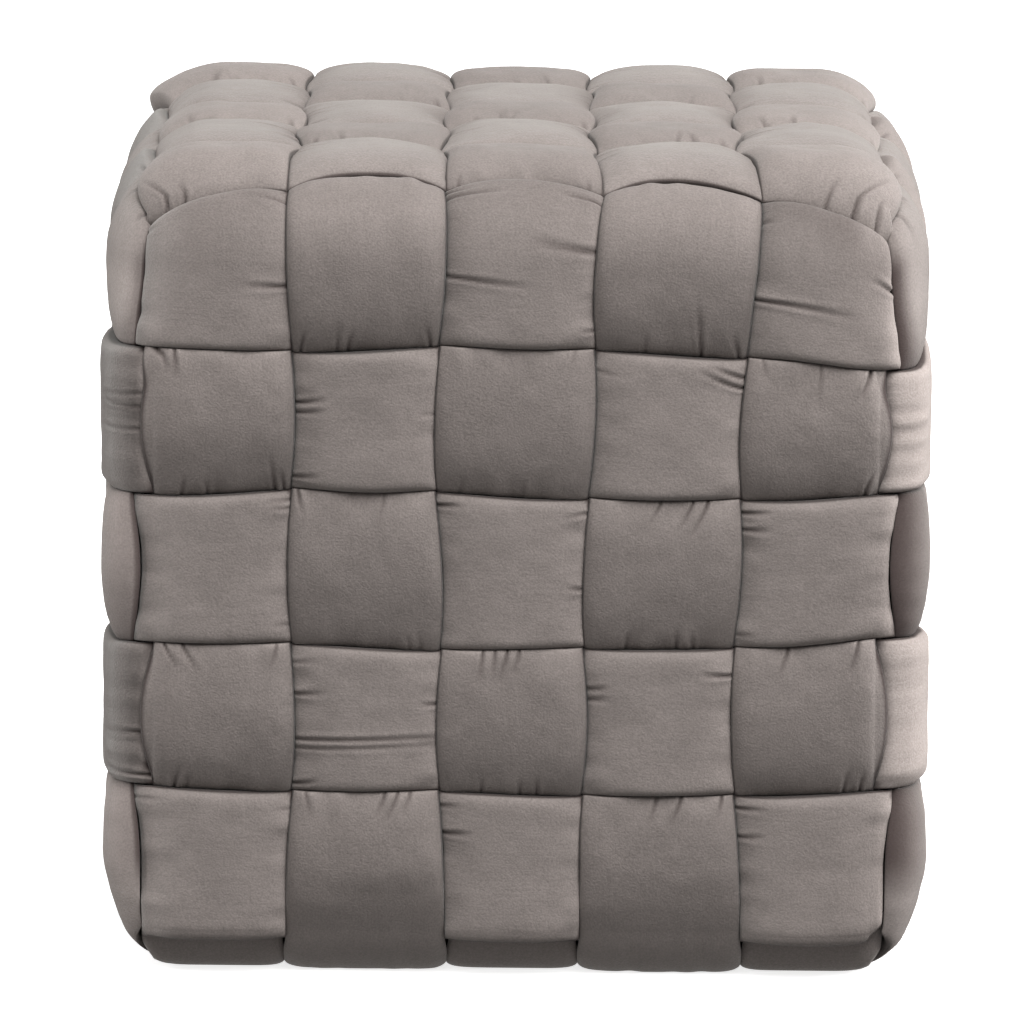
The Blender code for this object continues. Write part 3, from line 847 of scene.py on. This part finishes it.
def bandFaces(rings, ringCount, closed):
    near = np.arange(rings if closed else rings - 1)[:, None]
    far = (near + 1) % rings
    corner = np.arange(ringCount)
    after = (corner + 1) % ringCount
    quads = np.stack((near * ringCount + corner, far * ringCount + corner,
                      far * ringCount + after, near * ringCount + after), axis=2).reshape(-1, 4)
    faces = quads.tolist()
    if not closed:
        faces.append(list(range(ringCount)))
        faces.append(list(range((rings - 1) * ringCount, rings * ringCount))[::-1])
    return faces


def bandMesh(name, squares, places, kind, number, topPaintedShade):
    closed = kind == "hoop"
    outerShares = crownShares(bandShape["pointsAcross"][kind])
    sections = []
    for square, table in bandTables(squares, closed):
        if not closed and number in (1, poufBlock["squares"]):
            mitred(table, number, square["over"])
        for key, trim in square["trims"].items():
            table[key] = trim(table)
        sections.append(squareSections(square, table, closed, outerShares))
    run, across, lift, fold, seam = (np.concatenate(column) for column in zip(*sections))
    rings, ringCount = run.shape
    run, across, lift, fold, seam = (column.ravel() for column in (run, across, lift, fold, seam))
    points = onBlock(places(run, across), lift)
    points[:, 2] = np.maximum(points[:, 2], 0.0)
    mesh = bpy.data.meshes.new(name)
    mesh.from_pydata(points.tolist(), [], bandFaces(rings, ringCount, closed))
    mesh.shade_smooth()
    # along the top's left and right edges the squares lie close and no gap shows, so most painted seam
    # shade is left out there
    shut = (rising(np.abs(points[:, 0]), *seamLook["closedSide"])
            * rising(points[:, 2], *seamLook["closedTop"]))
    # painted light and shade on the pile: by side, down the uprights' squares, and on the top
    tone = paintedSideLight(points, pileLook[kind]["tones"])
    if not closed:
        overRun = next(square["centre"] for square in squares if square["over"])
        tone = tone * paintedSlopeLight(run, points[:, 2], overRun)
    # painted shade on the top's middle front-back bands
    tone = tone * (1 - (1 - topPaintedShade) * rising(points[:, 2], *pileFeel["topStart"]))
    noisePlace = pileFeel["noiseApart"] * (pileLook[kind]["noise"] + number)
    bandPlace = np.stack((run, across, np.full(len(run), noisePlace)), axis=1)
    values = {
        "foldShade": ("FLOAT", "value", fold),
        "seamShade": ("FLOAT", "value", seam * (1 - seamLook["closed"] * shut)),
        "paintedLightTone": ("FLOAT", "value", tone),
        "napRun": ("FLOAT_VECTOR", "vector",
                   pileRuns(points, run, across, lift, places, pileLook[kind]["lean"])),
        "bandPlace": ("FLOAT_VECTOR", "vector", bandPlace),
    }
    for key, (dataType, field, data) in values.items():
        mesh.attributes.new(key, dataType, "POINT").data.foreach_set(field, data.ravel())
    return mesh


# velvet and block cloth

velvetLook = {
    "light": (0.308, 0.268, 0.252, 1.0),
    "dark": (0.160, 0.138, 0.128, 1.0),
    # colour of the painted shade in creases and seams
    "crease": (0.022, 0.010, 0.009, 1.0),
    "specular": 0.18,
    "sheen": 0.22,
    "sheenRoughness": 0.45,
    "sheenTint": (0.975, 1.0, 0.965, 1.0),
    "roughness": (0.78, 0.95),
    # scale, detail, roughness and distortion of each noise
    "grain": (900.0, 1.0, 0.5, 0.0),     # fine pile
    "mottle": (46.0, 6.0, 0.68, 0.0),    # slow patches of tone
    "streak": (1.0, 2.0, 0.5, 0.0),      # faint, along the band
    "ruffle": (1.0, 3.0, 0.6, 0.4),      # ruffled patches of pile, longer along the band
    "streakStretch": (60.0, 620.0, 60.0),
    "ruffleStretch": (95.0, 150.0, 95.0),
    "grainShare": 0.8,
    "mottleShare": 0.5,
    "streakShare": 0.15,
    "toneRange": (0.26, 1.16),
    # shares of the painted crease shade and the painted seam shade
    "foldShade": 0.75,
    "seamShade": 0.85,
    "ruffleBump": (0.35, 0.0010),        # strength and distance
    "grainBump": (0.5, 0.0005),
    "streakBump": 0.4,                   # share of the streaks in the grain's bump
}
blockLook = {
    "dark": (0.024, 0.021, 0.0198, 1.0),
    "light": (0.056, 0.049, 0.0462, 1.0),
    "weave": (900.0, 2.0, 0.5, 0.0),
    "weaveBump": (0.4, 0.0004),
    "roughness": 0.92,
    "specular": 0.15,
}


def setInputs(tree, node, inputs):
    # an input takes a value, or the output of another node
    for key, value in inputs.items():
        if isinstance(value, bpy.types.NodeSocket):
            tree.links.new(value, node.inputs[key])
        else:
            node.inputs[key].default_value = value


def addNode(tree, kind, inputs=None, **settings):
    node = tree.nodes.new("ShaderNode" + kind)
    for key, value in settings.items():
        setattr(node, key, value)
    setInputs(tree, node, inputs or {})
    return node.outputs


def addMaths(tree, operation, *values):
    return addNode(tree, "Math", dict(enumerate(values)), operation=operation)[0]


def addVector(tree, operation, *values):
    return addNode(tree, "VectorMath", dict(enumerate(values)), operation=operation)[0]


def addMix(tree, share, first, second):
    return addNode(tree, "Mix", {0: share, 6: first, 7: second}, data_type="RGBA")[2]


def addNoise(tree, place, look):
    scale, detail, roughness, distortion = look
    return addNode(tree, "TexNoise", {"Vector": place, "Scale": scale, "Detail": detail,
                                      "Roughness": roughness, "Distortion": distortion})[0]


def addBump(tree, height, look, **normal):
    strength, distance = look
    inputs = {"Height": height, "Strength": strength, "Distance": distance, **normal}
    return addNode(tree, "Bump", inputs)[0]


def newMaterial(name):
    material = bpy.data.materials.new(name)
    material.use_nodes = True
    return material, material.node_tree, material.node_tree.nodes["Principled BSDF"]


def makeVelvet():
    material, tree, shader = newMaterial("woven_velvet")
    fold, seam, paintedLightTone, nap, place = (
        addNode(tree, "Attribute", attribute_name=name)
        for name in ("foldShade", "seamShade", "paintedLightTone", "napRun", "bandPlace"))
    place = place["Vector"]
    grain = addNoise(tree, addNode(tree, "TexCoord")["Object"], velvetLook["grain"])
    mottle = addNoise(tree, place, velvetLook["mottle"])
    stretched = addVector(tree, "MULTIPLY", place, velvetLook["streakStretch"])
    streak = addNoise(tree, stretched, velvetLook["streak"])
    stretched = addVector(tree, "MULTIPLY", place, velvetLook["ruffleStretch"])
    ruffle = addNoise(tree, stretched, velvetLook["ruffle"])

    # grain, mottling and streaks between the two colours, made lighter or darker by the painted light
    # and shade
    tone = addMaths(tree, "MULTIPLY", mottle, velvetLook["mottleShare"])
    tone = addMaths(tree, "MULTIPLY_ADD", grain, velvetLook["grainShare"], tone)
    tone = addMaths(tree, "MULTIPLY_ADD", streak, velvetLook["streakShare"], tone)
    low, high = velvetLook["toneRange"]
    share = addNode(tree, "MapRange", {"Value": tone, "From Min": low, "From Max": high})[0]
    colour = addMix(tree, share, velvetLook["dark"], velvetLook["light"])
    # the colour takes the painted light and shade that the mesh carries
    paintedLightColour = addNode(tree, "VectorMath", {0: colour, "Scale": paintedLightTone["Fac"]}, operation="SCALE")[0]

    # painted shade: creases and the seams between the squares are darkened towards the crease colour
    foldShare = addMaths(tree, "MULTIPLY", fold["Fac"], velvetLook["foldShade"])
    seamShare = addMaths(tree, "MULTIPLY", seam["Fac"], velvetLook["seamShade"])
    shaded = addMix(tree, addMaths(tree, "MAXIMUM", foldShare, seamShare), paintedLightColour, velvetLook["crease"])

    # the pile leans, which tilts the way it catches light; ruffles and grain lie on that
    normal = addNode(tree, "NewGeometry")["Normal"]
    leaning = addVector(tree, "NORMALIZE", addVector(tree, "ADD", normal, nap["Vector"]))
    ruffled = addBump(tree, ruffle, velvetLook["ruffleBump"], Normal=leaning)
    rough = addMaths(tree, "MULTIPLY_ADD", streak, velvetLook["streakBump"], grain)
    low, high = velvetLook["roughness"]
    setInputs(tree, shader, {
        "Base Color": shaded,
        "Roughness": addNode(tree, "MapRange", {"Value": mottle, "To Min": low, "To Max": high})[0],
        "Normal": addBump(tree, rough, velvetLook["grainBump"], Normal=ruffled),
        "Metallic": 0.0,
        "Specular IOR Level": velvetLook["specular"],
        "Sheen Weight": velvetLook["sheen"],
        "Sheen Roughness": velvetLook["sheenRoughness"],
        "Sheen Tint": velvetLook["sheenTint"],
    })
    return material


def makeBlockCloth():
    material, tree, shader = newMaterial("dark_block_cloth")
    weave = addNoise(tree, addNode(tree, "TexCoord")["Object"], blockLook["weave"])
    setInputs(tree, shader, {
        "Base Color": addMix(tree, weave, blockLook["dark"], blockLook["light"]),
        "Roughness": blockLook["roughness"],
        "Specular IOR Level": blockLook["specular"],
        "Normal": addBump(tree, weave, blockLook["weaveBump"]),
    })
    return material


velvet = makeVelvet()
blockCloth = makeBlockCloth()
print("pouf: materials made")


def addItem(name, data):
    item = bpy.data.objects.new(name, data)
    bpy.context.scene.collection.objects.link(item)
    return item


# the block under the bands, with soft edges

blockRings = {
    # points along a side, as shares of its half
    "across": (-1.0, -0.97, -0.94, -0.88, -0.8, -0.4, 0.0, 0.4, 0.8, 0.88, 0.94, 0.97),
    "bend": (1.0, 0.8, 0.6, 0.4, 0.2),       # rings under its bottom edge, as shares of the bend
    "side": (0.12, 4),       # rings up the side: the last one's depth below the top, how many
    "upper": (0.108, 19),    # rings on to the top: the first one's depth, how many
    # rings on the top: how far in from its edge
    "topIn": (0.006, 0.012, 0.018, 0.024, 0.030, 0.036, 0.08, 0.14, 0.19),
}


def blockRing(reach, height):
    # points of one level ring of the sharp block
    across = np.array(blockRings["across"]) * reach
    rings = []
    for side in range(4):
        points = faceRight[side] * across[:, None] + faceOut[side] * reach
        points[:, 2] = height
        rings.append(points)
    return np.concatenate(rings)


def addBlock():
    rings = [blockRing(poufBlock["plinth"], height) for height in (0.0, poufBlock["rebate"])]
    below = poufBlock["bottomEdge"] * math.pi / 2
    depth, count = blockRings["side"]
    upperDepth, upperCount = blockRings["upper"]
    heights = [bendStart - below * share for share in blockRings["bend"]]
    heights += list(np.linspace(bendStart, top - depth, count))
    heights += list(np.linspace(top - upperDepth, top, upperCount))
    sharp = [blockRing(half, height) for height in heights]
    sharp += [blockRing(half - inward, top) for inward in blockRings["topIn"]]
    rings += [onBlock(ring, np.full(len(ring), -poufBlock["sunk"])) for ring in sharp]
    count = len(rings[0])
    faces = [list(range(count))[::-1]]
    for near in range(0, (len(rings) - 1) * count, count):
        far = near + count
        for corner in range(count):
            after = (corner + 1) % count
            faces.append([near + corner, near + after, far + after, far + corner])
    faces.append([(len(rings) - 1) * count + corner for corner in range(count)])
    mesh = bpy.data.meshes.new("soft_block")
    mesh.from_pydata(np.concatenate(rings).tolist(), [], faces)
    mesh.shade_smooth()
    mesh.materials.append(blockCloth)
    piece = addItem("soft_block", mesh)
    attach(piece, "root")
    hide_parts("block")


addBlock()
print("pouf: block made")


# the bands

squareFeel = {
    # where the seeds of a kind of band start, and how far apart those of its bands lie
    "seeds": {"hoop": (1000, 40), "leftRight": (3000, 20), "frontBack": (3400, 20)},
    "crownSeed": 500,        # added for the draws of a square's crown
    "topCalm": 0.8,          # share of the painted seam shade and of the stray creases that the top has
    "stripWider": 0.0060,    # how much wider the outer side of an end band is under the bottom hoop
    "flatSide": -2.0,        # crown of the sides' top corner squares, in spreads off the usual
    "flatLeft": -1.2,        # the same of the bottom row on the left
    "leftSkirtIn": 0.003,    # how far that row's skirts are drawn in
    "backBulge": (0.0062, 0.020, 0.036),    # back left corner of the top: height, start, run across
    # right end of the bottom hoop's front: how much narrower below, from which share of the way, over
    # what share, and how far round the curve goes
    "roundedEnd": (0.009, 0.78, 0.22, 0.98),
}


def makeSquare(kind, centre, over, crossing, seed, creases):
    # crossing gives the kind of square whose edge each end meets
    draw = np.random.default_rng(seed + squareFeel["crownSeed"])
    shape = squareShape[kind]
    crossed = {sign: squareShape[name] for sign, name in crossing.items()}
    return {
        "centre": centre,
        "over": over,
        "seed": seed,
        "creases": creases,
        "left": shape["half"],
        "right": shape["half"],
        "barrel": shape["barrel"],
        "flat": shape["flat"],
        "ends": {sign: pitch - other["half"] - bandShape["seam"] for sign, other in crossed.items()},
        "hollows": {sign: other["barrel"] for sign, other in crossed.items()},
        "endOuter": {-1: bandShape["outerEnd"], 1: bandShape["outerEnd"]},
        "puff": draw.uniform(-1, 1),
        "skew": draw.uniform(-1, 1),
        "finer": 1.0,
        "calm": 1.0,
        "skirtIn": 0.0,
        "straightBelow": False,
        "stripWider": {"left": 0.0, "right": 0.0},
        "stretches": {},     # sign of an end: how much longer it is, by the place across
        "trims": {},         # side: its half width, by the table of sections
        "paintedShadeEdges": {},     # side: reach and share of its painted shade
        "bulges": {},        # side: height, start and run of its bulge
    }


def droppedEdge(table, front):
    # the top hoop gives way to the corner squares that hang over it
    place = table["run"] - half if front else 5 * half - table["run"]
    return table["right"] - edgeDrop(place, front)


def roundedEnd(table, end):
    narrower, start, run, most = squareFeel["roundedEnd"]
    share = np.clip((table["along"] / end - start) / run, 0.0, most)
    return table["left"] - narrower * (1 - np.sqrt(1 - share ** 2))


def hoopSquares(row):
    squares = []
    count = poufBlock["squares"]
    bottom = row == count - 1
    firstSeed, seedStep = squareFeel["seeds"]["hoop"]
    for number in range(4 * count):
        over = (number + row) % 2 == 0
        creases = None
        if over and number < count:
            creases = namedCreases(frontCreases[(row + 1, number + 1)])
        elif number == count:
            creases = ()     # the strip that shows on the right is smooth
        square = makeSquare("hoop", (number + 0.5) * pitch, over, {-1: "side", 1: "side"},
                            firstSeed + seedStep * row + number, creases)
        square["straightBelow"] = bottom
        wrap = cornerFold["wrap"] * (-1 if number // count in (0, 2) else 1)
        for sign, place in ((-1, 0), (1, count - 1)):
            if number % count == place:
                square["ends"][sign] = pitch / 2 + wrap - bandShape["seam"]
        if row == 0 and number in (0, count - 1, 2 * count, 3 * count - 1):
            square["trims"]["right"] = lambda table, front=number < count: droppedEdge(table, front)
        if row == 0 and number + 1 in topArch:
            square["trims"]["right"] = (
                lambda table, place=number + 1: table["right"] + arched(table["along"], place))
        if row == 0 and number in seamLook["rim"]:
            square["paintedShadeEdges"]["right"] = seamLook["rim"][number]
        if bottom and number == count - 1:
            square["trims"]["left"] = lambda table, end=square["ends"][1]: roundedEnd(table, end)
        squares.append(square)
    return squares


def uprightCreases(band, frontBack, row, place):
    # row counts down the side from the top's edge, place across the top from the front or left
    if frontBack and row > 0 and place < 1:
        return namedCreases(frontCreases[(row, band)])
    key = (place, band) if frontBack else (band, place)
    return namedCreases(topCreases[key]) if row <= 0 and key in topCreases else None


def fitTopCorner(square, band, front, sign):
    # the ends of a front-back end band on the top hang over the edge, and over the side
    name = cornerName(front, band == 1)
    outer = "left" if band == 1 else "right"

    def stretch(across):
        tip = cornerFold["overhang"] * cornerShare(across, band)
        return tip + edgeDrop((band - middleBand) * pitch + across, front)

    def trim(table):
        share = np.clip(sign * table["along"] / (pitch / 2), 0, 1) ** cornerFold["gatherPower"]
        return cornerWidth(np.abs(table["run"]) + cornerDrops[name][0] * share, name)

    square["stretches"][sign] = stretch
    square["trims"][outer] = trim
    square["finer"] = bandShape["cornerFiner"]
    if band == 1 and not front:
        square["bulges"]["left"] = squareFeel["backBulge"]


def fitSideCorner(square, band, left, sign):
    # the upper end of a left-right end band on the side gives way to that corner
    name = cornerName(band == 1, left)
    centre = (band - middleBand) * pitch
    square["stretches"][-sign] = lambda across: -sideDrop(np.abs(centre + across), name)
    square["puff"] = squareFeel["flatSide"]


def uprightSquares(band, frontBack):
    squares = []
    last = poufBlock["squares"]
    atEnd = band in (1, last)
    outer = "left" if band == 1 else "right"
    firstSeed, seedStep = squareFeel["seeds"]["frontBack" if frontBack else "leftRight"]
    for number in range(-middleBand - last + 1, middleBand + last):
        row = abs(number) - middleBand + 1
        place = number + middleBand
        onTop = row <= 0
        sign = -1 if number < 0 else 1
        over = ((band + place) % 2 == 0) == frontBack
        creases = uprightCreases(band, frontBack, row, place) if over else None
        # an end meets a band of the top if the next place is on the top, or else a hoop
        crossing = {step: "top" if 1 <= place + step <= last else "hoop" for step in (-1, 1)}
        square = makeSquare("top" if onTop else "side", number * pitch, over, crossing,
                            firstSeed + seedStep * band + number, creases)
        square["skirt"] = flaredPath if frontBack else skirtPath
        if onTop:
            square["calm"] = squareFeel["topCalm"]
        if onTop and not frontBack:
            square["flat"] = bandShape["acrossTopFlat"]
        if row > 1:
            square["endOuter"][-sign] = bandShape["upperEnd"]
        if atEnd and not onTop:
            square[outer] = pitch / 2 + (-1 if frontBack else 1) * cornerFold["wrap"]
            square["stripWider"][outer] = squareFeel["stripWider"]
        if atEnd and frontBack and row == 0:
            fitTopCorner(square, band, number < 0, sign)
        if atEnd and not frontBack and row == 1:
            fitSideCorner(square, band, number < 0, sign)
        if not frontBack and band == 1 and not onTop:
            square["paintedShadeEdges"]["left"] = seamLook["frontEdge"]["left" if number < 0 else "right"]
        if not frontBack and row == last and number < 0:
            square["puff"] = squareFeel["flatLeft"]
            square["skirtIn"] = squareFeel["leftSkirtIn"]
        # the seam under the top's front edge arches up
        if frontBack and band in topArch and place in (0, 1):
            up = 1 if place == 0 else -1
            square["stretches"][up] = lambda across, up=up: up * arched(across, band)
        if not frontBack and band == 1 and place in topArch:
            square["trims"]["left"] = (
                lambda table, place=place: table["left"] - arched(table["along"], place))
        squares.append(square)
    return squares


def addBand(node, squares, places, kind, number, topPaintedShade):
    name = "velvet_" + node
    mesh = bandMesh(name, squares, places, kind, number, topPaintedShade)
    mesh.materials.append(velvet)
    piece = addItem(name, mesh)
    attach(piece, "root")
    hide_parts(node)


def addHoop(row):
    addBand(f"hoop_{row + 1}", hoopSquares(row), lambda run, across: hoopPlaces(row, run, across),
            "hoop", row, 1.0)


def addUpright(band, frontBack):
    node = ("front_back_band_" if frontBack else "left_right_band_") + str(band)
    topPaintedShade = pileFeel["topPaintedShade"] if frontBack and 1 < band < poufBlock["squares"] else 1.0
    addBand(node, uprightSquares(band, frontBack),
            lambda run, across: uprightPlaces(band, frontBack, run, across),
            "frontBack" if frontBack else "leftRight", band, topPaintedShade)


for row in range(poufBlock["squares"]):
    addHoop(row)
print("pouf: hoops made")

for frontBack in (True, False):
    for band in range(1, poufBlock["squares"] + 1):
        addUpright(band, frontBack)
print("pouf: uprights made")


# floor, lights and camera

studio = {
    "floorSize": 24.0,
    "floorColour": (0.86, 0.86, 0.86, 1.0),
    "floorRoughness": 0.9,
    "floorGlow": 0.75,       # keeps the floor white where the pouf shades it
    "worldColour": (1.0, 0.99, 0.97, 1.0),
    "worldStrength": 0.24,
    "sunElevation": 61.0,    # degrees
    "sunTurn": 8.0,          # degrees to the right of the front
    "sunSpread": 50.0,       # degrees, a wide soft source
    "sunStrength": 2.6,
}
softLights = {
    # name: (place, aimed at, width, depth, watts)
    "left": ((-2.4, 0.2, 0.6), (0.0, 0.0, 0.25), 1.4, 1.8, 34.0),
    "right": ((2.4, 0.2, 0.6), (0.0, 0.0, 0.25), 1.4, 1.8, 80.0),
    "front": ((0.7, -0.9, 1.7), (0.0, 0.0, 0.2), 1.4, 1.4, 23.0),
}
photoView = {
    "distance": 5.0,
    "azimuth": 0.073,        # degrees
    "elevation": 10.407,
    "roll": 0.55,
    "target": (-0.0023, 0.0, 0.2216),
    "focalPixels": 8753.8,
    "imagePixels": 1024,
    "sensor": 36.0,          # mm
}


def lookAt(item, target):
    direction = np.array(target) - np.array(item.location)
    flat = math.hypot(direction[0], direction[1])
    item.rotation_euler = (math.atan2(flat, -direction[2]), 0.0, math.atan2(-direction[0], direction[1]))


def addFloor():
    reach = studio["floorSize"] / 2
    corners = [(-reach, -reach, 0), (reach, -reach, 0), (reach, reach, 0), (-reach, reach, 0)]
    mesh = bpy.data.meshes.new("studio_floor")
    mesh.from_pydata(corners, [], [(0, 1, 2, 3)])
    material, tree, shader = newMaterial("pale_floor")
    setInputs(tree, shader, {
        "Base Color": studio["floorColour"],
        "Roughness": studio["floorRoughness"],
        "Specular IOR Level": 0.0,
        "Emission Color": (1.0, 1.0, 1.0, 1.0),
        "Emission Strength": studio["floorGlow"],
    })
    mesh.materials.append(material)
    floor = addItem("studio_floor", mesh)
    floor.visible_diffuse = False


def addLights():
    world = bpy.data.worlds.new("pale_room")
    world.use_nodes = True
    setInputs(world.node_tree, world.node_tree.nodes["Background"],
              {"Color": studio["worldColour"], "Strength": studio["worldStrength"]})
    bpy.context.scene.world = world
    sky = bpy.data.lights.new("soft_light_above", "SUN")
    sky.energy = studio["sunStrength"]
    sky.angle = math.radians(studio["sunSpread"])
    item = addItem("soft_light_above", sky)
    tilt = math.radians(90 - studio["sunElevation"])
    item.rotation_euler = (tilt, 0.0, math.radians(studio["sunTurn"]))
    for name, (place, aim, width, depth, watts) in softLights.items():
        lamp = bpy.data.lights.new("soft_light_" + name, "AREA")
        lamp.shape = "RECTANGLE"
        lamp.size = width
        lamp.size_y = depth
        lamp.energy = watts
        item = addItem("soft_light_" + name, lamp)
        item.location = place
        lookAt(item, aim)


def addCamera():
    lens = bpy.data.cameras.new("photo_camera")
    lens.sensor_width = photoView["sensor"]
    lens.lens = photoView["sensor"] * photoView["focalPixels"] / photoView["imagePixels"]
    camera = addItem("photo_camera", lens)
    azimuth = math.radians(photoView["azimuth"])
    elevation = math.radians(photoView["elevation"])
    back = np.array((math.sin(azimuth) * math.cos(elevation),
                     -math.cos(azimuth) * math.cos(elevation), math.sin(elevation)))
    camera.location = np.array(photoView["target"]) + back * photoView["distance"]
    camera.rotation_mode = "XYZ"
    lookAt(camera, photoView["target"])
    camera.rotation_euler.rotate_axis("Z", math.radians(photoView["roll"]))
    bpy.context.scene.camera = camera
    bpy.context.scene.view_settings.view_transform = "Standard"


addFloor()
addLights()
addCamera()
print("pouf: studio made")
